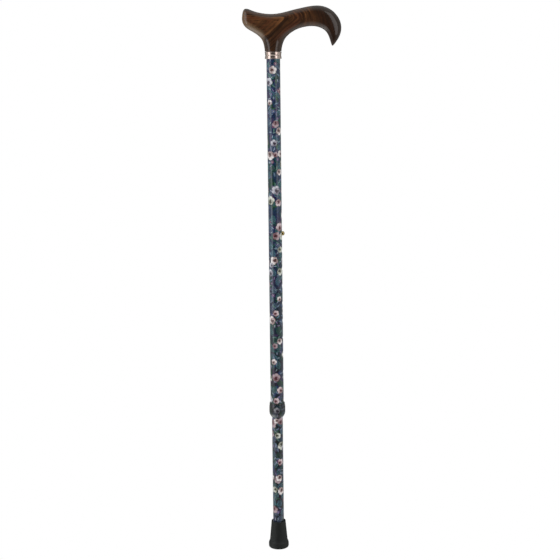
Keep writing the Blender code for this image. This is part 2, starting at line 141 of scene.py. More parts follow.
# Snap button and its clip
BUTTON_RADIUS = 0.003
FLANGE_RADIUS = 0.0038
BUTTON_BACK_X = 0.0042
FLANGE_X = 0.0052
SHOULDER_X = 0.0111
BUTTON_TIP_X = 0.0133
CLIP_THICKNESS = 0.0006
CLIP_WIDTH = 0.006
BUTTON_LEG_X = 0.0036
WALL_LEG_X = -0.0053
CLIP_TOP = 0.479
CLIP_KNEE = 0.466
BEND_Z = 0.443
BEND_RADIUS = 0.0022
BEND_STEPS = 16

# Derby handle: sections from the tail to the nose, in millimetres. Each has its outer and its inner point,
# as x and height above the neck collar, and its half width. The nose's outer corners are rounder: their reach
# to the sides comes last.
HANDLE_SECTIONS = (
    ((-41.8, 52.0), (-42.6, 45.8), 3.2),
    ((-39.8, 57.5), (-41.8, 40.0), 6.6),
    ((-33.6, 58.1), (-36.8, 32.8), 10.1),
    ((-22.0, 53.9), (-24.4, 27.2), 11.9),
    ((1.0, 51.2), (1.0, 23.0), 12.4),
    ((23.0, 55.3), (24.6, 27.3), 12.4),
    ((37.5, 58.6), (38.0, 31.9), 12.1),
    ((52.0, 61.3), (51.5, 34.2), 11.8),
    ((66.0, 61.6), (63.0, 32.9), 11.3, 0.81),
    ((78.6, 57.3), (71.5, 28.6), 10.6, 0.755),
    ((88.1, 48.9), (76.2, 22.6), 9.6, 0.71),
    ((93.9, 37.3), (78.8, 16.0), 8.2, 0.69),
    ((93.3, 23.5), (80.3, 11.0), 6.4, 0.7),
    ((87.6, 12.8), (81.4, 7.8), 4.4, 0.75),
)
NOSE_TIP = (82.4, 6.3)
NECK_SECTION = 4  # the section over the middle of the neck
# Neck rings below it, in millimetres: centre x, half length, half width and height above the neck collar.
NECK_RINGS = (
    (0.4, 14.6, 12.0, 16.5),
    (0.1, 12.5, 11.7, 7.5),
    (0.0, 11.6, 11.5, 0.8),
    (0.0, 11.4, 11.4, -7.0),
)
CORNER_OUT = 0.72  # how far a section's corners reach from its middle to its outer and inner points
CORNER_SIDE = 0.84  # and to its sides
CAGE_PASSES = 4
HANDLE_LEVELS = 4
SPIGOT_RADIUS = 0.0095
SPIGOT_BOTTOM = UPPER_TOP + GAP
STUD_BORE = radius_of("handle_stud") + GAP
STUD_TOP = heights_of("handle_stud")[1]


# ---- shapes


def add_object(name, data):
    obj = bpy.data.objects.new(name, data)
    bpy.context.scene.collection.objects.link(obj)
    return obj


def mesh_of(name, shape):
    """The bmesh as a mesh."""
    mesh = bpy.data.meshes.new(name)
    shape.to_mesh(mesh)
    shape.free()
    return mesh


def evaluated(obj):
    graph = bpy.context.evaluated_depsgraph_get()
    return bpy.data.meshes.new_from_object(obj.evaluated_get(graph))


def settle(obj):
    """Makes the object's modifiers part of its mesh, shaded smooth except along its real edges."""
    bpy.context.view_layer.update()
    mesh = evaluated(obj)
    obj.modifiers.clear()
    obj.data = mesh
    mesh.name = obj.name
    mesh.shade_smooth()
    mesh.set_sharp_from_angle(angle=SHARP_ANGLE)
    return obj


def fillet(before, corner, after, radius):
    """Points along a rounded corner."""
    here = Vector(corner)
    back, ahead = Vector(before) - here, Vector(after) - here
    reach = min(radius, 0.45 * back.length, 0.45 * ahead.length)
    start, end = here + back.normalized() * reach, here + ahead.normalized() * reach
    steps = [i / FILLET_STEPS for i in range(FILLET_STEPS + 1)]
    return [(1 - t) ** 2 * start + 2 * t * (1 - t) * here + t * t * end for t in steps]


def rounded(corners, ring):
    """A profile from (radius, height) and (radius, height, fillet) corners."""
    count = len(corners)
    points = []
    for i, corner in enumerate(corners):
        inside = ring or 0 < i < count - 1
        if len(corner) == 3 and inside:
            before, after = corners[i - 1][:2], corners[(i + 1) % count][:2]
            points += fillet(before, corner[:2], after, corner[2])
        else:
            points.append(Vector(corner[:2]))
    return points


def turned(name, corners, steps=ROUND_STEPS, ring=False):
    """A solid of revolution about Z. Its corners run down the outer side, and a ring's come back up."""
    points = rounded(corners, ring)
    count = len(points)
    edges = [(i, (i + 1) % count) for i in range(count if ring else count - 1)]
    mesh = bpy.data.meshes.new(name)
    mesh.from_pydata([(point.x, 0.0, point.y) for point in points], edges, [])
    obj = add_object(name, mesh)
    screw = obj.modifiers.new("Turn", "SCREW")
    screw.steps = screw.render_steps = steps
    screw.use_merge_vertices = True
    screw.merge_threshold = MERGE
    return obj


def boolean(obj, other, operation):
    """Cuts or joins with another solid, which is then removed."""
    modifier = obj.modifiers.new(operation.title(), "BOOLEAN")
    modifier.operation = operation
    modifier.object = other
    settle(obj)
    bpy.data.objects.remove(other)


def wound_wire(name, wire, first_turn, turns):
    """A round wire wound right-handed round the shaft, as a closed mesh."""
    curve = bpy.data.curves.new(name, "CURVE")
    curve.dimensions = "3D"
    curve.bevel_depth = wire
    curve.bevel_resolution = 3
    curve.use_fill_caps = True
    spline = curve.splines.new("POLY")
    spline.points.add(turns * THREAD_STEPS)
    for i, point in enumerate(spline.points):
        turn = first_turn + i / THREAD_STEPS
        x, y = math.cos(TAU * turn), math.sin(TAU * turn)
        point.co = (THREAD_CENTRE * x, THREAD_CENTRE * y, THREAD_START + THREAD_PITCH * turn, 1.0)
    guide = add_object(name, curve)
    shape = bmesh.new()
    shape.from_mesh(evaluated(guide))
    bpy.data.objects.remove(guide)
    bmesh.ops.remove_doubles(shape, verts=shape.verts, dist=MERGE / 10)
    bmesh.ops.recalc_face_normals(shape, faces=shape.faces)
    return add_object(name, mesh_of(name, shape))


def flared_cutter(name, heights, radius):
    """Bars along X through one wall of a tube of this radius, each widening where it leaves the wall."""
    start, end, over = 0.6 * radius, radius + 0.002, HOLE_FLARE + 0.002
    profile = [
        (0.0, end),
        (HOLE_RADIUS + over, end),
        (HOLE_RADIUS, radius - HOLE_FLARE),
        (HOLE_RADIUS, start),
        (0.0, start),
    ]
    bar = settle(turned(name, profile, SMALL_STEPS))
    shape = bmesh.new()
    for height in heights:
        placed = bar.data.copy()
        placed.transform(Matrix.Translation((0, 0, height)) @ Matrix.Rotation(math.radians(90), 4, "Y"))
        shape.from_mesh(placed)
        bpy.data.meshes.remove(placed)
    bpy.data.objects.remove(bar)
    return add_object(name, mesh_of(name, shape))


def round_normals(obj, radius):
    """Shades the faces of the tube's outer wall as a true cylinder, also round its holes."""
    mesh = obj.data
    points = np.array([vert.co for vert in mesh.vertices])
    across = np.hypot(points[:, 0], points[:, 1])
    normals = [Vector(corner.vector) for corner in mesh.corner_normals]
    for face in mesh.polygons:
        if all(abs(across[i] - radius) < 2 * MERGE for i in face.vertices):
            for loop in face.loop_indices:
                x, y, _ = points[mesh.loops[loop].vertex_index]
                normals[loop] = Vector((x, y, 0.0)).normalized()
    mesh.normals_split_custom_set(normals)


def make_tube(name, radius, bore, bottom, top):
    corners = [(radius, top, EDGE), (radius, bottom, EDGE), (bore, bottom, EDGE), (bore, top, EDGE)]
    return settle(turned(name, corners, ring=True))


def make_upper_tube():
    tube = make_tube("shaft_upper", UPPER_RADIUS, UPPER_BORE, UPPER_BOTTOM, UPPER_TOP)
    boolean(tube, wound_wire("thread_ridge", RIDGE_WIRE, 0, RIDGE_TURNS), "UNION")
    top_hole = BUTTON_Z + HOLES_ABOVE * HOLE_PITCH
    heights = [top_hole - i * HOLE_PITCH for i in range(HOLE_COUNT)]
    boolean(tube, flared_cutter("height_holes", heights, UPPER_RADIUS), "DIFFERENCE")
    round_normals(tube, UPPER_RADIUS)
    return tube


def make_lower_tube():
    tube = make_tube("shaft_lower", LOWER_RADIUS, LOWER_RADIUS - TUBE_WALL, LOWER_BOTTOM, LOWER_TOP)
    boolean(tube, flared_cutter("button_hole", [BUTTON_Z], LOWER_RADIUS), "DIFFERENCE")
    round_normals(tube, LOWER_RADIUS)
    return tube


def make_lock_collar():
    chamfer, softness = 0.0004, 0.0011
    corners = [(COLLAR_BORE + chamfer, COLLAR_TOP, EDGE)]
    corners += [(COLLAR_RADIUS - inside, COLLAR_TOP - below, softness) for below, inside in COLLAR_OUTSIDE]
    corners += [
        (COLLAR_MOUTH, COLLAR_BOTTOM, EDGE),
        (COLLAR_MOUTH, CONE_BOTTOM),
        (COLLAR_BORE, CONE_TOP),
        (COLLAR_BORE, COLLAR_TOP - chamfer, EDGE),
    ]
    collar = settle(turned("screw_collar", corners, ring=True))
    groove = wound_wire("thread_groove", GROOVE_WIRE, -GROOVE_TURNS_BELOW, GROOVE_TURNS)
    boolean(collar, groove, "DIFFERENCE")
    return collar


def make_ferrule():
    flare, flare_depth, soft, sharp, groove_edge = 0.0009, 0.0016, 0.0009, 0.0004, 0.0003
    corners = [
        (0.0, SOCKET_FLOOR),
        (SOCKET_RADIUS, SOCKET_FLOOR, sharp),
        (SOCKET_RADIUS, FERRULE_TOP - flare_depth, 0.0008),
        (SOCKET_RADIUS + flare, FERRULE_TOP, sharp),
        (RIM_RADIUS, FERRULE_TOP, soft),
    ]
    corners += [(radius, height, soft) for radius, height in FERRULE_FOOT]
    for outer, inner in TREAD_GROOVES:
        corners += [(outer, 0.0, groove_edge), (outer, TREAD_DEPTH)]
        corners += [(inner, TREAD_DEPTH), (inner, 0.0, groove_edge)]
    corners.append((0.0, 0.0))
    return settle(turned("ferrule", corners))


def make_neck_collar():
    """A polished band with a soft groove round its middle and a rolled bead at each end."""
    middle = (BAND_BOTTOM + BAND_TOP) / 2
    reach = BAND_TOP - middle
    bead, step, flat, dip, half = 0.0016, 0.0002, 0.0003, 0.0005, 0.0009
    band = BAND_RADIUS - flat
    upper_half = [
        (BAND_RADIUS, reach, 0.0008),
        (BAND_RADIUS, reach - bead, 0.0007),
        (band, reach - bead - step, 0.0001),
        (band, half, 0.0003),
        (band - dip, 0.3 * half, 0.0004),
    ]
    corners = [(radius, middle + above, edge) for radius, above, edge in upper_half]
    corners += [(radius, middle - below, edge) for radius, below, edge in reversed(upper_half)]
    corners += [(BAND_BORE, BAND_BOTTOM, EDGE), (BAND_BORE, BAND_TOP, EDGE)]
    return settle(turned("neck_band", corners, ring=True))


def make_button():
    """A domed pin with a flange behind it, turned about X."""
    dome = BUTTON_TIP_X - SHOULDER_X
    steps = 10
    corners = []
    for i in range(steps):
        turn = 0.25 * TAU * i / steps
        corners.append((BUTTON_RADIUS * math.sin(turn), SHOULDER_X + dome * math.cos(turn)))
    corners += [
        (BUTTON_RADIUS, SHOULDER_X),
        (BUTTON_RADIUS, FLANGE_X, EDGE),
        (FLANGE_RADIUS, FLANGE_X, EDGE),
        (FLANGE_RADIUS, BUTTON_BACK_X, EDGE),
        (0.0, BUTTON_BACK_X),
    ]
    button = settle(turned("brass_button", corners, SMALL_STEPS))
    button.data.transform(Matrix.Translation((0, 0, BUTTON_Z)) @ Matrix.Rotation(math.radians(90), 4, "Y"))
    return button


def make_clip():
    """A bent strip of spring steel: down the button leg, round the bend and up the leg on the far wall."""
    middle_x = WALL_LEG_X + BEND_RADIUS
    path = [(BUTTON_LEG_X, CLIP_TOP), (BUTTON_LEG_X, CLIP_KNEE)]
    for i in range(BEND_STEPS + 1):
        turn = math.pi * i / BEND_STEPS
        x, z = BEND_RADIUS * math.cos(turn), BEND_RADIUS * math.sin(turn)
        path.append((middle_x + x, BEND_Z - z))
    path.append((WALL_LEG_X, CLIP_TOP))
    half = CLIP_WIDTH / 2
    verts = [(x, y, z) for x, z in path for y in (-half, half)]
    faces = [(2 * i, 2 * i + 1, 2 * i + 3, 2 * i + 2) for i in range(len(path) - 1)]
    mesh = bpy.data.meshes.new("clip")
    mesh.from_pydata(verts, [], faces)
    clip = add_object("clip", mesh)
    solidify = clip.modifiers.new("Thickness", "SOLIDIFY")
    solidify.thickness = CLIP_THICKNESS
    solidify.offset = 0.0
    solidify.use_even_offset = True
    bevel = clip.modifiers.new("Edges", "BEVEL")
    bevel.width = EDGE / 2
    bevel.segments = 2
    return settle(clip)


# ---- the handle's shape


def section_ring(outer, inner, half_width, outer_side=CORNER_SIDE):
    """Eight points round one handle section: outer, then round by the front to inner and back. outer_side is
    how far the two corners beside the outer point reach to the sides."""
    outer, inner = np.array([outer[0], 0.0, outer[1]]), np.array([inner[0], 0.0, inner[1]])
    middle, reach, side = (outer + inner) / 2, (outer - inner) / 2, np.array([0.0, -half_width, 0.0])
    front = [(1, 0), (CORNER_OUT, outer_side), (0, 1), (-CORNER_OUT, CORNER_SIDE), (-1, 0)]
    back = [(out, -across) for out, across in front[3:0:-1]]
    return [middle + out * reach + across * side for out, across in front + back]


def cubic_limit(points, axis, ends):
    """Where a Catmull-Clark surface passes for a regular row of cage points."""
    before, after = np.roll(points, 1, axis), np.roll(points, -1, axis)
    if ends:
        before[0], after[-1] = points[0], points[-1]
    return (before + 4 * points + after) / 6


def fitted_cage(rings):
    """The cage pushed out until its smooth surface passes through the rings' points."""
    target = np.array(rings)
    cage = target.copy()
    for _ in range(CAGE_PASSES):
        limit = cubic_limit(cubic_limit(cage, 0, True), 1, False)
        cage += target - limit
    return cage


def neck_ring(centre_x, half_length, half_width, height):
    """Eight points round the neck, starting at the tail side and going round by the back."""
    turn = [TAU / 2 - TAU * k / 8 for k in range(8)]
    return [
        np.array([centre_x + half_length * math.cos(a), half_width * math.sin(a), height]) for a in turn
    ]


def handle_cage():
    """(points, faces) of the coarse cage: a bar of eight-sided sections, with an eight-sided neck below."""
    bar = fitted_cage([section_ring(*section) for section in HANDLE_SECTIONS])
    neck = fitted_cage([neck_ring(*ring) for ring in NECK_RINGS])
    points = [point for ring in bar for point in ring]
    count = len(bar)
    before, over, after = NECK_SECTION - 1, NECK_SECTION, NECK_SECTION + 1
    faces = []
    for i in range(count - 1):
        for k in range(8):
            if i in (before, over) and k in (3, 4):
                continue
            faces.append((8 * i + k, 8 * i + (k + 1) % 8, 8 * i + 8 + (k + 1) % 8, 8 * i + 8 + k))
    faces.append(tuple(reversed(range(8))))
    points.append((NOSE_TIP[0], 0.0, NOSE_TIP[1]))
    nose, last = len(points) - 1, 8 * (count - 1)
    faces += [(last + 2 * k, last + 2 * k + 1, last + (2 * k + 2) % 8, nose) for k in range(4)]
    # The neck grows from the ring of points round the four faces left out above.
    rim = [(before, 4), (before, 5), (over, 5), (after, 5), (after, 4), (after, 3), (over, 3), (before, 3)]
    rim = [8 * i + k for i, k in rim]
    for ring in neck:
        first = len(points)
        points += list(ring)
        lower = list(range(first, first + 8))
        faces += [(rim[k], rim[(k + 1) % 8], lower[(k + 1) % 8], lower[k]) for k in range(8)]
        rim = lower
    faces.append(tuple(rim))
    return points, faces


def make_handle():
    """The wooden handle, with its spigot turned down and its bore drilled for the stud."""
    points, faces = handle_cage()
    shape = bmesh.new()
    verts = [shape.verts.new((x * MM, y * MM, BAND_TOP + z * MM)) for x, y, z in points]
    for face in faces:
        shape.faces.new([verts[i] for i in face])
    loose = [vert for vert in shape.verts if not vert.link_faces]
    bmesh.ops.delete(shape, geom=loose, context="VERTS")
    bmesh.ops.recalc_face_normals(shape, faces=shape.faces)
    handle = add_object("handle", mesh_of("handle", shape))
    smooth = handle.modifiers.new("Smooth", "SUBSURF")
    smooth.levels = smooth.render_levels = HANDLE_LEVELS
    clear, far = 0.02, 0.03
    waste = [
        (0.0, STUD_TOP + GAP),
        (STUD_BORE, STUD_TOP + GAP),
        (STUD_BORE, SPIGOT_BOTTOM),
        (SPIGOT_RADIUS, SPIGOT_BOTTOM),
        (SPIGOT_RADIUS, BAND_TOP + GAP),
        (clear, BAND_TOP + GAP),
        (clear, BAND_TOP - far),
        (0.0, BAND_TOP - far),
    ]
    boolean(handle, settle(turned("handle_waste", waste)), "DIFFERENCE")
    return handle


# ---- materials


def maths(operation):
    """A call of Look for this operation."""
    return lambda self, *values: self.math(operation, *values)


class Look:
    """A node tree built by short calls. Each call returns the socket that holds its result."""

    def __init__(self, name, owner=None, shader="Principled BSDF"):
        self.owner = owner or bpy.data.materials.new(name)
        self.owner.use_nodes = True
        self.tree = self.owner.node_tree
        self.shader = self.tree.nodes[shader]

    def feed(self, socket, value):
        if isinstance(value, bpy.types.NodeSocket):
            self.tree.links.new(value, socket)
        elif isinstance(value, tuple) and socket.type == "RGBA":
            socket.default_value = (*value, 1.0)
        else:
            socket.default_value = value

    def node(self, kind, inputs, **settings):
        node = self.tree.nodes.new("ShaderNode" + kind)
        for name, value in settings.items():
            setattr(node, name, value)
        for key, value in inputs.items():
            self.feed(node.inputs[key], value)
        return node

    def math(self, operation, *values):
        return self.node("Math", dict(enumerate(values)), operation=operation).outputs[0]

    add, less, times, divide = maths("ADD"), maths("SUBTRACT"), maths("MULTIPLY"), maths("DIVIDE")
    absolute, sine, cosine = maths("ABSOLUTE"), maths("SINE"), maths("COSINE")
    linear = maths("MULTIPLY_ADD")  # of a value, a factor and an offset

    def hypotenuse(self, a, b):
        return self.math("SQRT", self.add(self.times(a, a), self.times(b, b)))

    def scaled(self, value, low, high, to_low=0.0, to_high=1.0):
        """value taken from one range to another in a smooth step, and held at the ends."""
        inputs = {"Value": value, "From Min": low, "From Max": high, "To Min": to_low, "To Max": to_high}
        return self.node("MapRange", inputs, interpolation_type="SMOOTHSTEP").outputs["Result"]

    def vector(self, x, y, z):
        return self.node("CombineXYZ", {0: x, 1: y, 2: z}).outputs[0]

    def split(self, vector):
        return self.node("SeparateXYZ", {0: vector}).outputs[:3]

    def dimmed(self, colour, factor):
        return self.node("VectorMath", {0: colour, "Scale": factor}, operation="SCALE").outputs[0]

    def place(self):
        """The point on the piece in its own frame, in millimetres."""
        return self.dimmed(self.node("TexCoord", {}).outputs["Object"], 1 / MM)

    def stretched(self, vector, *factors):
        return self.vector(*map(self.times, self.split(vector), factors))

    def noise(self, vector, scale, detail=3.0, roughness=0.5):
        inputs = {"Vector": vector, "Scale": scale, "Detail": detail, "Roughness": roughness}
        return self.node("TexNoise", inputs).outputs["Fac"]

    def uneven(self, vector, scale, detail, roughness):
        """Noise round zero."""
        return self.less(self.noise(vector, scale, detail, roughness), 0.5)

    def mix(self, factor, a, b):
        return self.node("Mix", {"Factor": factor, 6: a, 7: b}, data_type="RGBA").outputs[2]

    def mix_value(self, factor, a, b):
        return self.node("Mix", {"Factor": factor, 2: a, 3: b}, data_type="FLOAT").outputs[0]

    def ramp(self, factor, stops, interpolation="EASE"):
        """A colour ramp through (place, colour) stops."""
        node = self.node("ValToRGB", {0: factor})
        ramp = node.color_ramp
        ramp.interpolation = interpolation
        for i, (place, colour) in enumerate(stops):
            stop = ramp.elements[i] if i < 2 else ramp.elements.new(place)
            stop.position = place
            stop.color = (*colour, 1.0)
        return node.outputs["Color"]

    def between(self, value, dark, light):
        """From one colour to another over the middle of the value's range."""
        return self.ramp(value, ((0.3, dark), (0.7, light)))

    def bump(self, height, strength, distance):
        return self.node("Bump", {"Height": height, "Strength": strength, "Distance": distance}).outputs[0]

    def finish(self, **values):
        """Feeds the shader. Underscores in a name stand for spaces."""
        for name, value in values.items():
            self.feed(self.shader.inputs[name.replace("_", " ")], value)
        return self.owner


class Group(Look):
    """A node group with these sockets, built by the same calls. Color is its output."""

    def __init__(self, name, **sockets):
        self.tree = bpy.data.node_groups.new(name, "ShaderNodeTree")
        for label, kind in sockets.items():
            way = "OUTPUT" if label == "Color" else "INPUT"
            self.tree.interface.new_socket(label, in_out=way, socket_type="NodeSocket" + kind)
        self.inputs = self.tree.nodes.new("NodeGroupInput").outputs
        self.results = self.tree.nodes.new("NodeGroupOutput").inputs


class Cell:
    """One cell of a scattered layer: where the point is from the cell's item, in millimetres, and the item's
    random numbers."""

    def __init__(self, look, surface, columns, row, seed, jitter, coverage):
        around, height, girth = surface
        rows = look.divide(height, row)
        row_index = look.math("FLOOR", rows)
        stagger = look.times(look.math("FLOORED_MODULO", row_index, 2.0), 0.5)
        along = look.add(look.times(around, columns), stagger)
        column = look.math("FLOORED_MODULO", look.math("FLOOR", along), columns)
        randoms = []
        for extra in (0.0, 50.0):
            at = look.vector(column, row_index, seed + extra)
            white = look.node("TexWhiteNoise", {"Vector": at}, noise_dimensions="3D")
            randoms += look.split(white.outputs["Color"])
        shift_x, shift_y, pick, self.spin, self.size, self.tint = randoms
        self.filled = look.math("LESS_THAN", pick, coverage)
        # An item sits in the middle of its cell, give or take half of jitter.
        middle = 0.5 - jitter / 2
        from_x = look.less(look.math("FRACT", along), look.linear(shift_x, jitter, middle))
        from_y = look.less(look.math("FRACT", rows), look.linear(shift_y, jitter, middle))
        self.x = look.times(from_x, look.divide(girth, columns))
        self.y = look.times(from_y, row)
        self.turn = look.times(self.spin, TAU)


def turned_point(look, x, y, turn):
    cosine, sine = look.cosine(turn), look.sine(turn)
    along = look.add(look.times(x, cosine), look.times(y, sine))
    across = look.less(look.times(y, cosine), look.times(x, sine))
    return along, across


def leaf_layer(look, ground, cell, length, width, colours):
    """Curved pointed leaves with a pale midrib, side veins and a dark outline. Sizes are in millimetres."""
    along, across = turned_point(look, cell.x, cell.y, cell.turn)
    bend = look.times(look.times(along, along), LEAF_BEND / length)
    side = look.divide(look.absolute(look.less(across, bend)), width)
    tip = look.math("POWER", look.absolute(look.divide(along, length)), 2.2)
    edge = look.add(side, tip)
    inside = look.times(look.scaled(edge, 1.0, 0.88), cell.filled)
    vein = look.sine(look.times(look.add(along, look.absolute(across)), VEIN_PITCH))
    shade = look.scaled(vein, -1.0, 1.0, 0.62, 1.15)
    shade = look.times(shade, look.scaled(edge, 0.7, 0.95, 1.0, 0.35))
    shade = look.add(shade, look.scaled(side, 0.16, 0.04, 0.0, 0.55))
    colour = look.ramp(cell.tint, colours, "CONSTANT")
    return look.mix(inside, ground, look.dimmed(colour, shade))


def fern_layer(look, ground, cell, length, width, colours):
    """Fronds with a row of slanting leaflets on each side of a thin stem."""
    along, across = turned_point(look, cell.x, cell.y, look.linear(cell.spin, 1.6, 0.8))
    side = look.absolute(across)
    taper = look.less(1.0, look.math("POWER", look.absolute(look.divide(along, length)), 2.0))
    reach = look.times(taper, width)
    leaflet = look.sine(look.times(look.less(along, look.times(side, 0.55)), FERN_PITCH))
    blade = look.times(look.scaled(leaflet, -0.25, 0.15), look.scaled(look.less(reach, side), 0.0, 0.35))
    stem = look.times(look.scaled(side, 0.3, 0.16), look.scaled(taper, 0.0, 0.1))
    inside = look.times(look.math("MAXIMUM", blade, stem), cell.filled)
    shade = look.scaled(look.divide(side, width), 0.1, 0.9, 0.65, 1.25)
    colour = look.ramp(cell.tint, colours, "CONSTANT")
    return look.mix(inside, ground, look.dimmed(colour, shade))


def petal_colours(look, cell, petals):
    return [look.ramp(cell.tint, [(at, row[k]) for at, row in petals], "CONSTANT") for k in range(3)]


def rose_layer(look, ground, cell, radius, petals):
    """Open roses. The heart is set off to one side, where the petals are folded and deep in colour, and the
    petals on the other side are broad and light."""
    size = look.linear(cell.size, 0.35 * radius, 0.8 * radius)
    x, y = turned_point(look, cell.x, cell.y, cell.turn)
    x, y = look.divide(x, size), look.divide(y, size)
    reach = look.hypotenuse(x, y)
    turn = look.math("ARCTAN2", y, x)
    swing = look.linear(cell.size, 1.5, look.times(turn, 2.5))
    lobes = look.absolute(look.cosine(swing))
    rim = look.divide(reach, look.linear(lobes, 0.17, 0.85))
    inside = look.times(look.scaled(rim, 1.04, 0.92), cell.filled)
    light, deep, dark = petal_colours(look, cell, petals)

    heart_x = look.less(x, HEART_OFF_CENTRE)
    depth = look.hypotenuse(heart_x, y)
    fold = look.math("ARCTAN2", y, heart_x)
    shaded = look.scaled(x, -0.35, 0.55)
    crease = look.times(look.scaled(lobes, 0.45, 0.1), look.scaled(rim, 0.5, 0.8))
    outer = look.mix(look.math("MAXIMUM", shaded, look.times(crease, 0.7)), light, deep)
    curl = look.sine(look.add(look.times(fold, 2.0), look.times(depth, 17.0)))
    folded = look.mix(look.scaled(curl, -0.6, 0.9, 0.35, 1.0), light, deep)
    nearness = look.linear(look.cosine(look.times(fold, 3.0)), 0.06, depth)
    colour = look.mix(look.scaled(nearness, 0.78, 0.56), outer, folded)
    colour = look.mix(look.scaled(nearness, 0.52, 0.26), colour, dark)
    spot = look.sine(look.linear(depth, 30.0, fold))
    spot = look.times(look.scaled(spot, 0.4, 1.0), look.scaled(nearness, 0.4, 0.26, 0.0, 0.6))
    colour = look.mix(spot, colour, deep)
    colour = look.mix(look.scaled(rim, 0.84, 1.0, 0.0, 0.7), colour, dark)
    return look.mix(inside, ground, colour)


def blossom_layer(look, ground, cell, radius, petals):
    """Small five-petalled blossoms with a pale eye."""
    size = look.linear(cell.size, 0.4 * radius, 0.7 * radius)
    turn = look.add(look.math("ARCTAN2", cell.y, cell.x), cell.turn)
    lobes = look.absolute(look.cosine(look.times(turn, 2.5)))
    reach = look.hypotenuse(cell.x, cell.y)
    rim = look.divide(reach, look.times(size, look.linear(lobes, 0.42, 0.62)))
    inside = look.times(look.scaled(rim, 1.04, 0.9), cell.filled)
    light, deep, eye = petal_colours(look, cell, petals)
    colour = look.mix(look.scaled(rim, 0.35, 0.95), deep, light)
    colour = look.mix(look.scaled(rim, 0.3, 0.22), colour, eye)
    return look.mix(inside, ground, colour)


def floral_print():
    """The printed pattern of the shaft: roses, blossoms, ferns and leaves scattered over a dark ground."""
    group = Group("floral_print", Point="Vector", Girth="Float", Cool="Float", Seed="Float", Color="Color")
    point, girth, cool, seed = group.inputs[:4]
    x, y, z = group.split(point)
    angle = group.math("ARCTAN2", y, x)
    around = group.add(group.divide(angle, TAU), 0.5)
    height = group.add(z, seed)
    surface = (around, height, girth)
    moved = group.vector(x, y, height)

    hue = group.noise(moved, 0.06, 2.0)
    ground = group.mix(cool, group.ramp(hue, GROUND_WARM), group.ramp(hue, GROUND_COOL))
    mottle = group.noise(moved, 0.7, 3.0, 0.7)
    ground = group.dimmed(ground, group.scaled(mottle, 0.3, 0.7, 0.4, 1.9))

    for draw, scatter, sizes in LAYERS_BELOW:
        ground = draw(group, ground, Cell(group, surface, *scatter), *sizes)
    tint = group.mix(cool, WARM_TINT, (1.0, 1.0, 1.0))
    ground = group.node("VectorMath", {0: ground, 1: tint}, operation="MULTIPLY").outputs[0]
    for scatter, radius in ROSE_LAYERS:
        ground = rose_layer(group, ground, Cell(group, surface, *scatter), radius, ROSES)
    group.feed(group.results[0], ground)
    return group.tree


LEAF_BEND = 0.16
FERN_PITCH, VEIN_PITCH = TAU / 2.3, 4.5  # radians along a frond or a leaf for each millimetre
HEART_OFF_CENTRE = 0.28  # of a rose's radius
GROUND_COOL = (
    (0.3, (0.004, 0.031, 0.026)),
    (0.42, (0.005, 0.023, 0.056)),
    (0.52, (0.007, 0.015, 0.064)),
    (0.62, (0.025, 0.015, 0.066)),
    (0.72, (0.005, 0.037, 0.044)),
)
GROUND_WARM = (
    (0.3, (0.007, 0.023, 0.014)),
    (0.42, (0.009, 0.015, 0.027)),
    (0.52, (0.011, 0.019, 0.017)),
    (0.62, (0.023, 0.014, 0.031)),
    (0.72, (0.009, 0.025, 0.013)),
)
LEAVES_DARK = (
    (0.0, (0.01, 0.06, 0.064)),
    (0.3, (0.008, 0.052, 0.025)),
    (0.5, (0.016, 0.04, 0.115)),
    (0.75, (0.04, 0.029, 0.089)),
)
FERNS = (
    (0.0, (0.069, 0.185, 0.235)),
    (0.3, (0.058, 0.185, 0.188)),
    (0.52, (0.03, 0.111, 0.07)),
    (0.7, (0.099, 0.163, 0.251)),
    (0.86, (0.019, 0.044, 0.125)),
)
LEAVES_MID = (
    (0.0, (0.12, 0.198, 0.281)),
    (0.35, (0.08, 0.18, 0.157)),
    (0.6, (0.095, 0.102, 0.209)),
    (0.8, (0.03, 0.102, 0.052)),
)
LEAVES_PALE = (
    (0.0, (0.28, 0.381, 0.488)),
    (0.3, (0.22, 0.347, 0.354)),
    (0.6, (0.36, 0.426, 0.525)),
    (0.85, (0.26, 0.213, 0.403)),
)
WARM_TINT = (1.02, 0.82, 0.88)  # what the leaves are multiplied by where the print is warm
# Light petals, their folds, and the heart.
ROSES = (
    (0.0, ((0.84, 0.79, 0.78), (0.27, 0.15, 0.15), (0.06, 0.022, 0.022))),
    (0.28, ((0.7, 0.58, 0.6), (0.26, 0.12, 0.14), (0.07, 0.01, 0.018))),
    (0.5, ((0.72, 0.74, 0.67), (0.19, 0.19, 0.13), (0.03, 0.03, 0.016))),
    (0.66, ((0.6, 0.6, 0.66), (0.16, 0.14, 0.2), (0.03, 0.016, 0.03))),
    (0.84, ((0.44, 0.34, 0.37), (0.2, 0.08, 0.1), (0.06, 0.008, 0.014))),
)
BLOSSOMS = (
    (0.0, ((0.17, 0.09, 0.26), (0.06, 0.026, 0.12), (0.5, 0.46, 0.38))),
    (0.5, ((0.23, 0.1, 0.19), (0.1, 0.022, 0.07), (0.55, 0.5, 0.42))),
    (0.75, ((0.16, 0.19, 0.32), (0.05, 0.06, 0.16), (0.5, 0.5, 0.46))),
)
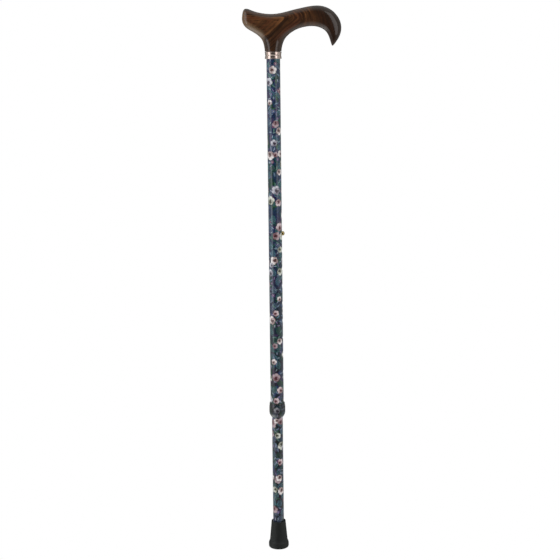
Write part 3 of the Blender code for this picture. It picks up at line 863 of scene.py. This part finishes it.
# Each layer: cells round the tube, height of a row, seed, jitter and the share of cells that are filled. Then
# its sizes and its colours. Heights and sizes are in millimetres.
LAYERS_BELOW = (
    (leaf_layer, (5.0, 11.0, 3.0, 0.2, 0.85), (5.8, 2.4, LEAVES_DARK)),
    (fern_layer, (5.0, 12.5, 17.0, 0.25, 0.9), (8.0, 4.0, FERNS)),
    (leaf_layer, (8.0, 7.6, 11.0, 0.2, 0.42), (3.6, 1.3, LEAVES_MID)),
    (blossom_layer, (6.0, 9.7, 23.0, 0.45, 0.2), (2.6, BLOSSOMS)),
    (leaf_layer, (10.0, 5.9, 31.0, 0.3, 0.26), (2.6, 0.65, LEAVES_PALE)),
)
ROSE_LAYERS = (((4.0, 17.0, 43.0, 0.34, 0.5), 5.9), ((4.0, 23.0, 57.0, 0.45, 0.34), 4.8))
# Seeds shift the print along the tube. The collar's puts a rose on its front.
UPPER_SEED, COLLAR_SEED, LOWER_SEED = 0.0, 388.3, 937.0
# How far the print is from warm to cool. On the upper tube it goes with height: two heights and their values.
UPPER_COOL = (240.0, 560.0, 0.2, 1.0)
LOWER_COOL = 0.05
# The collar's print is darker, covers its sloping ends too, and turns black below this height.
COLLAR_STRENGTH = 0.36
COLLAR_FACING = -0.3
COLLAR_RIM = COLLAR_TOP / MM - 1.2
BLACK_RIM = (0.006, 0.008, 0.007)
RIM_BLEND = 1.4


def printed_tube(name, pattern, radius, cool, seed, facing=0.9, black_above=None, strength=0.86):
    """Glossy lacquer over the print. Where the surface doesn't face outwards, as in a hole, at a cut end or
    in the bore, it is bare aluminium. The collar's print ends in a black rim."""
    look = Look(name)
    point = look.place()
    x, y, z = look.split(point)
    if isinstance(cool, tuple):
        cool = look.scaled(z, *cool)
    inputs = {"Point": point, "Girth": TAU * radius / MM, "Cool": cool, "Seed": seed}
    printed = look.node("Group", {}, node_tree=pattern)
    for key, value in inputs.items():
        look.feed(printed.inputs[key], value)
    outwards = look.node("VectorMath", {0: look.vector(x, y, 0.0)}, operation="NORMALIZE").outputs[0]
    normal = look.node("TexCoord", {}).outputs["Normal"]
    turned_out = look.node("VectorMath", {0: outwards, 1: normal}, operation="DOT_PRODUCT").outputs["Value"]
    bare = look.math("LESS_THAN", turned_out, facing)
    brushed = look.noise(look.stretched(point, 1.0, 1.0, 6.0), 1.4, 4.0, 0.6)
    metal = look.between(brushed, (0.42, 0.43, 0.45), (0.66, 0.67, 0.69))
    scratches = look.noise(look.stretched(point, 5.0, 5.0, 0.1), 1.6, 5.0, 0.65)
    scratches = look.scaled(scratches, 0.66, 0.8)
    colour = look.dimmed(printed.outputs[0], strength)
    if black_above:
        colour = look.mix(look.scaled(z, black_above - RIM_BLEND, black_above), colour, BLACK_RIM)
    worn = look.mix(look.times(scratches, 0.1), colour, (0.35, 0.36, 0.38))
    smear = look.noise(point, 0.12, 4.0, 0.6)
    roughness = look.add(look.scaled(smear, 0.3, 0.7, 0.25, 0.4), look.times(scratches, 0.15))
    orange_peel = look.noise(point, 0.7, 2.0, 0.5)
    return look.finish(
        Base_Color=look.mix(bare, worn, metal),
        Metallic=bare,
        Roughness=look.mix_value(bare, roughness, 0.35),
        Specular_IOR_Level=0.3,
        Coat_Weight=look.times(look.less(1.0, bare), 0.85),
        Coat_Roughness=0.24,
        Normal=look.bump(orange_peel, 0.05, 0.0002),
    )


# The wood's bands, as places across them and how light the wood is there. A band's place is where it crosses
# the line along the middle of the bar.
WOOD_BANDS = (
    (-60.0, 0.42), (0.0, 0.52), (9.0, 0.62), (14.0, 0.88),
    (16.2, 0.3), (17.6, 0.04), (19.2, 0.18), (20.4, 0.04), (22.6, 0.32), (24.6, 0.4), (27.0, 0.28),
    (28.6, 0.44), (30.2, 0.05), (31.8, 0.2), (33.6, 0.62), (35.2, 0.3), (36.6, 0.03), (38.4, 0.1),
    (40.2, 0.42), (42.8, 0.12), (44.4, 0.28), (46.8, 0.58), (48.6, 0.34), (51.4, 0.4), (53.6, 0.3),
    (57.6, 0.48), (60.5, 0.32), (64.0, 0.2), (67.0, 0.1), (72.0, 0.02), (90.0, 0.02),
)
WOOD_TONES = (
    (0.0, (0.018, 0.008, 0.004)),
    (0.25, (0.04, 0.016, 0.006)),
    (0.5, (0.076, 0.03, 0.011)),
    (0.75, (0.12, 0.048, 0.016)),
    (1.0, (0.205, 0.08, 0.024)),
)
WOOD_RED = (0.12, 0.034, 0.014)
# the colour of the painted highlight on the tail's end and lower edge, in place of a reflection
WOOD_PAINTED_HIGHLIGHT = (0.15, 0.094, 0.05)
WOOD_PORE = (0.008, 0.005, 0.004)
WOOD_FRONT_MM = 12.0  # how far the wood's front lies from its middle
# The figure's parts as two places and the values there. Places are millimetres along X, across the bands, or
# above the middle of the bar.
MIDDLE_TAIL, MIDDLE_NOSE = (-5.0, 20.0, -2.5, 0.0), (36.0, 92.0, 46.3, 22.3)  # the middle's height, as a sum
HOOK_ROUNDING = (18.0, 60.0, 2.5, 12.0)
SLOPE_UP_TAIL, SLOPE_UP_NOSE = (6.0, 30.0, 12.0, 0.5), (40.0, 80.0, 0.6, 0.0)
SLOPE_DOWN = (32.0, 54.0, 1.28, 0.1)
LEVEL_INSIDE = (14.0, 6.0, 0.0, 0.8)
STREAKS_ACROSS, STREAKS_ALONG = (6.0, 16.0, 0.35, 1.0), (46.0, 66.0, 1.0, 0.25)
DARKER_ARM, DARKER_NECK = (-3.0, -14.0, 1.0, 0.7), (-18.0, -34.0, 1.0, 0.35)
LINE_HEIGHT, LINE_END, LINE_LIGHT = (-40.0, 16.0, 43.6, 46.0), (18.0, 10.0), (1.2, 0.4, 0.0, 0.17)
RED_NECK, RED_NOSE = (-18.0, -34.0, 1.0, 0.1), (30.0, 46.0, 1.0, 0.3)
# The painted highlight on the tail: how deep it reaches in from the edge, where it stops along X, where the
# tail's end is, and the line of the lower edge.
PAINTED_HIGHLIGHT_DEPTH, PAINTED_HIGHLIGHT_END = (7.0, 2.0, 0.0, 0.62), (-9.0, -17.0)
TAIL_END = -43.0
LOWER_EDGE = (0.56, 0.9, 12.48)  # the factors of X and of the height, and the offset


def wood_grain(look, point):
    """Coordinates that follow the grain: across the bands, and along them. The bands are hooks that open
    towards the tail. Above the middle of the bar they run level at the tail and lean back at the nose, and
    below it they slant down to the neck."""
    x, y, z = look.split(point)
    middle = look.add(look.scaled(x, *MIDDLE_TAIL), look.scaled(x, *MIDDLE_NOSE))
    above = look.less(look.less(z, BAND_TOP / MM), middle)
    round_off = look.scaled(x, *HOOK_ROUNDING)
    far = look.less(look.hypotenuse(above, round_off), round_off)
    slope_up = look.add(look.scaled(x, *SLOPE_UP_TAIL), look.scaled(x, *SLOPE_UP_NOSE))
    slope = look.mix_value(look.scaled(above, -1.5, 1.5), look.scaled(x, *SLOPE_DOWN), slope_up)
    across = look.add(x, look.times(far, slope))
    across = look.linear(look.add(y, WOOD_FRONT_MM), 0.35, across)
    return across, look.divide(across, look.hypotenuse(slope, 1.0)), above, y


def wood_bands(look, across, shift):
    """How light the bands are here."""
    low, high = WOOD_BANDS[0][0], WOOD_BANDS[-1][0]
    share = look.divide(look.less(look.add(across, shift), low), high - low)
    stops = [((at - low) / (high - low), (tone, tone, tone)) for at, tone in WOOD_BANDS]
    return look.split(look.ramp(share, stops))[0]


def wood():
    look = Look("lacquered_wood")
    point = look.place()
    x, y, z = look.split(point)
    across, fibre, above, depth = wood_grain(look, point)
    wander, ripple = look.uneven(point, 0.045, 3.0, 0.55), look.uneven(point, 0.2, 2.0, 0.5)
    shift = look.add(look.times(wander, 4.0), look.times(ripple, 2.0))
    fibre = look.add(fibre, look.times(shift, 0.5))
    grain = look.vector(fibre, look.times(above, 0.05), look.times(depth, 0.25))

    tone = wood_bands(look, across, shift)
    clouds = look.noise(look.stretched(point, 0.07, 0.1, 0.5), 1.0, 4.0, 0.62)
    clouds = look.scaled(clouds, 0.3, 0.7, 0.15, 0.75)
    tone = look.mix_value(look.scaled(across, *LEVEL_INSIDE), tone, clouds)
    tone = look.times(tone, look.scaled(above, *DARKER_ARM))
    tone = look.times(tone, look.scaled(above, *DARKER_NECK))
    strength = look.times(look.scaled(across, *STREAKS_ACROSS), look.scaled(x, *STREAKS_ALONG))
    streaks = look.times(look.uneven(grain, 0.55, 3.0, 0.6), strength)
    fibres = look.uneven(grain, 2.6, 4.0, 0.6)
    tone = look.add(tone, look.add(look.times(streaks, 1.4), look.times(fibres, 0.6)))
    tone = look.times(tone, look.scaled(look.noise(point, 0.07, 2.0, 0.5), 0.35, 0.65, 0.7, 1.08))
    height = look.less(z, BAND_TOP / MM)
    off_line = look.absolute(look.less(height, look.scaled(x, *LINE_HEIGHT)))
    tone = look.add(tone, look.times(look.scaled(off_line, *LINE_LIGHT), look.scaled(x, *LINE_END)))
    colour = look.ramp(tone, WOOD_TONES, "LINEAR")

    red = look.scaled(look.noise(grain, 0.25, 2.0, 0.5), 0.5, 0.66, 0.0, 0.34)
    red = look.times(look.times(red, look.scaled(above, *RED_NECK)), look.scaled(x, *RED_NOSE))
    colour = look.mix(red, colour, WOOD_RED)
    # A painted highlight, standing in for the left lamp's reflection on the rounded edge, makes the tail's
    # end and its lower edge paler: how far in from the nearer of them the point is.
    edge_x, edge_height, edge_offset = LOWER_EDGE
    lower_edge = look.less(look.linear(x, edge_x, look.times(height, edge_height)), edge_offset)
    inside = look.math("MINIMUM", look.less(x, TAIL_END), lower_edge)
    inside = look.add(inside, look.times(streaks, 1.5))
    pale = look.times(look.scaled(inside, *PAINTED_HIGHLIGHT_DEPTH), look.scaled(x, *PAINTED_HIGHLIGHT_END))
    colour = look.mix(pale, colour, WOOD_PAINTED_HIGHLIGHT)
    pores = look.noise(look.vector(look.times(fibre, 2.6), look.times(above, 0.18), depth), 1.6, 2.0, 0.5)
    colour = look.mix(look.scaled(pores, 0.32, 0.24, 0.0, 0.6), colour, WOOD_PORE)
    handling = look.noise(point, 0.06, 4.0, 0.65)
    return look.finish(
        Base_Color=colour,
        Roughness=look.scaled(handling, 0.3, 0.7, 0.32, 0.44),
        Specular_IOR_Level=0.1,
        Coat_Weight=0.75,
        Coat_Roughness=0.1,
        Normal=look.bump(pores, 0.04, 0.0002),
    )


def polished_band():
    look = Look("rose_gold_band")
    point = look.place()
    turning = look.noise(look.stretched(point, 0.05, 0.05, 9.0), 1.0, 3.0, 0.6)
    tarnish = look.scaled(look.noise(point, 0.35, 5.0, 0.65), 0.5, 0.75)
    colour = look.between(turning, (0.64, 0.5, 0.45), (0.76, 0.61, 0.55))
    return look.finish(
        Base_Color=look.mix(look.times(tarnish, 0.35), colour, (0.42, 0.27, 0.21)),
        Metallic=1.0,
        Roughness=look.linear(tarnish, 0.1, 0.22),
        Normal=look.bump(turning, 0.08, 0.00005),
    )


def black_rubber():
    look = Look("black_rubber")
    point = look.place()
    dust = look.scaled(look.noise(point, 0.3, 5.0, 0.7), 0.52, 0.8)
    low = look.scaled(look.split(point)[2], 9.0, 0.5)
    dusty = look.add(look.times(dust, 0.25), look.times(look.times(low, dust), 0.6))
    cloud = look.noise(point, 0.08, 3.0, 0.5)
    colour = look.between(cloud, (0.0056, 0.0066, 0.0066), (0.0078, 0.0088, 0.0084))
    grain = look.noise(point, 3.0, 4.0, 0.7)
    scuff = look.noise(look.stretched(point, 1.0, 1.0, 5.0), 0.5, 5.0, 0.7)
    height = look.add(look.times(grain, 0.5), look.times(scuff, 0.5))
    return look.finish(
        Base_Color=look.mix(look.times(dusty, 0.35), colour, (0.09, 0.085, 0.075)),
        Roughness=look.scaled(scuff, 0.3, 0.7, 0.5, 0.68),
        Specular_IOR_Level=0.4,
        Normal=look.bump(height, 0.22, 0.0002),
    )


STAIN, BRASS_STAIN = (0.08, 0.06, 0.04), (0.1, 0.08, 0.04)


def worn_metal(name, dark, light, roughness, stretch, stain=STAIN):
    """Bare or plated metal with fine tool marks along one direction and dull stains."""
    look = Look(name)
    point = look.place()
    marks = look.noise(look.stretched(point, *stretch), 2.2, 4.0, 0.65)
    stains = look.scaled(look.noise(point, 0.45, 5.0, 0.7), 0.52, 0.8)
    colour = look.between(marks, dark, light)
    return look.finish(
        Base_Color=look.mix(look.times(stains, 0.5), colour, stain),
        Metallic=1.0,
        Roughness=look.linear(stains, 0.25, roughness),
        Normal=look.bump(marks, 0.15, 0.00005),
    )


def moulded_nylon(name, dark, light):
    """Moulded nylon with a faint sink pattern, a fine satin grain and rubbed high spots."""
    look = Look(name)
    point = look.place()
    cloud = look.noise(point, 0.2, 4.0, 0.6)
    grain = look.noise(point, 4.0, 3.0, 0.6)
    return look.finish(
        Base_Color=look.between(cloud, dark, light),
        Roughness=look.scaled(cloud, 0.3, 0.7, 0.42, 0.58),
        Normal=look.bump(grain, 0.1, 0.00008),
    )


def studio_floor():
    look = Look("studio_floor")
    cloud = look.noise(look.place(), 0.0015, 2.0)
    return look.finish(
        Base_Color=look.between(cloud, (0.3, 0.3, 0.3), (0.32, 0.32, 0.32)),
        Roughness=0.9,
        Specular_IOR_Level=0.0,
        Emission_Color=(1.0, 1.0, 1.0),
        Emission_Strength=0.85,
    )


# ---- the studio

CAMERA_PLACE = (0.006, -1.693, 0.7215)
CAMERA_DOWN = math.radians(10.58)
CAMERA_ROLL = math.radians(0.63)
LENS = 77.07
SENSOR = 36.0
FLOOR_RADIUS = 4.0
FLOOR_GAP = 0.0001
LAMP_DISTANCE = 1.8
LEFT_COLOUR = (0.94, 0.96, 0.99)
RIGHT_COLOUR = (0.99, 0.965, 0.96)
FILL_COLOUR = (0.98, 0.97, 0.98)
ROOM_COLOUR = (0.95, 0.99, 0.96)
# The room's brightness by direction: two places from -1 to 1 and the values there. FRONT and BACK go by how
# far a direction points away from the camera's side, ABOVE and BELOW by how far up, and BELOW_LEFT by how far
# right. FRONT times BACK is the level. ABOVE adds to it, and so does BELOW times BELOW_LEFT.
ROOM_FRONT = (-0.93, -0.35, 0.02, 0.5)
ROOM_BACK = (0.3, 0.95, 1.0, 0.2)
ROOM_ABOVE = (0.35, 0.85, 0.0, 0.3)
ROOM_BELOW = (-0.48, -0.8, 0.0, 1.0)
ROOM_BELOW_LEFT = (-0.1, -0.55, 0.2, 1.5)
# Name, azimuth in degrees, height, size, height aimed at, radiance, colour, and whether it is only a fill.
LAMPS = (
    ("softbox_left", -58.0, 0.9, (0.85, 2.2), 0.6, 1.46, LEFT_COLOUR, False),
    ("softbox_right", 44.0, 1.1, (0.8, 1.9), 0.7, 1.38, RIGHT_COLOUR, False),
    ("fill_front", 0.0, 1.2, (1.6, 1.6), 0.6, 0.38, FILL_COLOUR, True),
    ("fill_left", -85.0, 0.2, (1.2, 1.2), 0.6, 1.5, FILL_COLOUR, True),
    ("fill_back_left", -150.0, 1.2, (1.4, 1.4), 0.5, 1.2, FILL_COLOUR, True),
    ("fill_back_right", 150.0, 1.2, (1.4, 1.4), 0.5, 1.2, FILL_COLOUR, True),
)


def make_camera():
    data = bpy.data.cameras.new("camera")
    data.lens = LENS
    data.sensor_width = SENSOR
    camera = add_object("camera", data)
    level = Matrix.Rotation(math.radians(90) - CAMERA_DOWN, 4, "X")
    camera.matrix_world = Matrix.Translation(CAMERA_PLACE) @ level @ Matrix.Rotation(-CAMERA_ROLL, 4, "Z")
    bpy.context.scene.camera = camera


def make_softbox(name, azimuth, height, size, aim_height, radiance, colour, fill):
    """A rectangular lamp. Azimuth 0 is on the camera's side, and a positive one is to the right of it. A fill
    lamp lights the object without showing in its gloss."""
    data = bpy.data.lights.new(name, "AREA")
    data.shape = "RECTANGLE"
    data.size, data.size_y = size
    data.energy = 4 * radiance * size[0] * size[1]
    data.color = colour
    lamp = add_object(name, data)
    turn = math.radians(azimuth)
    lamp.location = (LAMP_DISTANCE * math.sin(turn), -LAMP_DISTANCE * math.cos(turn), height)
    towards = Vector((0.0, 0.0, aim_height)) - lamp.location
    lamp.rotation_euler = towards.to_track_quat("-Z", "Y").to_euler()
    lamp.visible_camera = False
    lamp.visible_glossy = not fill


def make_floor():
    shape = bmesh.new()
    bmesh.ops.create_circle(shape, cap_ends=True, segments=128, radius=FLOOR_RADIUS)
    floor = add_object("floor", mesh_of("floor", shape))
    floor.data.materials.append(studio_floor())
    floor.location.z = -FLOOR_GAP
    floor.visible_glossy = False
    floor.visible_camera = False


def make_world():
    """White behind the object, and a dim room round it that is darkest on the camera's side."""
    world = bpy.data.worlds.new("studio")
    bpy.context.scene.world = world
    look = Look("studio", world, "Background")
    x, y, z = look.split(look.node("TexCoord", {}).outputs["Generated"])
    level = look.linear(look.scaled(y, *ROOM_FRONT), look.scaled(y, *ROOM_BACK), look.scaled(z, *ROOM_ABOVE))
    room = look.linear(look.scaled(z, *ROOM_BELOW), look.scaled(x, *ROOM_BELOW_LEFT), level)
    seen = look.node("LightPath", {}).outputs["Is Camera Ray"]
    look.finish(Strength=look.mix_value(seen, room, 1.0), Color=look.mix(seen, ROOM_COLOUR, (1.0, 1.0, 1.0)))


def make_studio():
    make_camera()
    make_world()
    make_floor()
    for lamp in LAMPS:
        make_softbox(*lamp)
    scene = bpy.context.scene
    scene.view_settings.view_transform = "Standard"
    scene.view_settings.look = "None"


# ---- putting it together


def place_piece(obj, node, body, material):
    """A visible piece that stands for a node, rides on its body and takes its slot."""
    obj.data.materials.clear()
    obj.data.materials.append(material)
    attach(obj, body)
    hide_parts(node)


def dress_node(node, material):
    """A carried-over node keeps its shape and gets a better material."""
    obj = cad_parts[node]
    for slot in obj.material_slots:
        slot.material = material


def main():
    make_studio()
    pattern = floral_print()
    steel = worn_metal("zinc_plated_steel", (0.42, 0.43, 0.44), (0.68, 0.69, 0.7), 0.3, (1.0, 1.0, 5.0))
    white_nylon = moulded_nylon("white_nylon", (0.62, 0.62, 0.57), (0.76, 0.76, 0.71))
    black_nylon = moulded_nylon("black_nylon", (0.018, 0.018, 0.019), (0.034, 0.034, 0.035))
    spring = worn_metal("spring_steel", (0.22, 0.23, 0.25), (0.44, 0.45, 0.47), 0.26, (1.0, 4.0, 0.4))
    brass = worn_metal("brass", (0.4, 0.29, 0.12), (0.62, 0.48, 0.22), 0.24, (3.0, 1.0, 1.0), BRASS_STAIN)

    place_piece(make_handle(), "derby_handle", "upper_shaft", wood())
    place_piece(make_neck_collar(), "neck_collar", "upper_shaft", polished_band())
    upper = printed_tube("print_upper", pattern, UPPER_RADIUS, UPPER_COOL, UPPER_SEED)
    place_piece(make_upper_tube(), "upper_tube", "upper_shaft", upper)
    collar = printed_tube(
        "print_collar", pattern, COLLAR_RADIUS, 0.0, COLLAR_SEED, COLLAR_FACING, COLLAR_RIM, COLLAR_STRENGTH
    )
    place_piece(make_lock_collar(), "lock_collar", "lock_collar", collar)
    lower = printed_tube("print_lower", pattern, LOWER_RADIUS, LOWER_COOL, LOWER_SEED)
    place_piece(make_lower_tube(), "lower_tube", "lower_shaft", lower)
    place_piece(make_ferrule(), "rubber_ferrule", "lower_shaft", black_rubber())
    place_piece(make_button(), "snap_button", "snap_button", brass)
    clip = make_clip()
    place_piece(clip, "spring_clip", "lower_shaft", spring)
    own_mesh(clip)
    for node in ("handle_stud", "plug_washer", "plug_nut", "ferrule_washer"):
        dress_node(node, steel)
    for node in ("top_plug", "guide_bush"):
        dress_node(node, white_nylon)
    dress_node("grip_ring", black_nylon)


main()
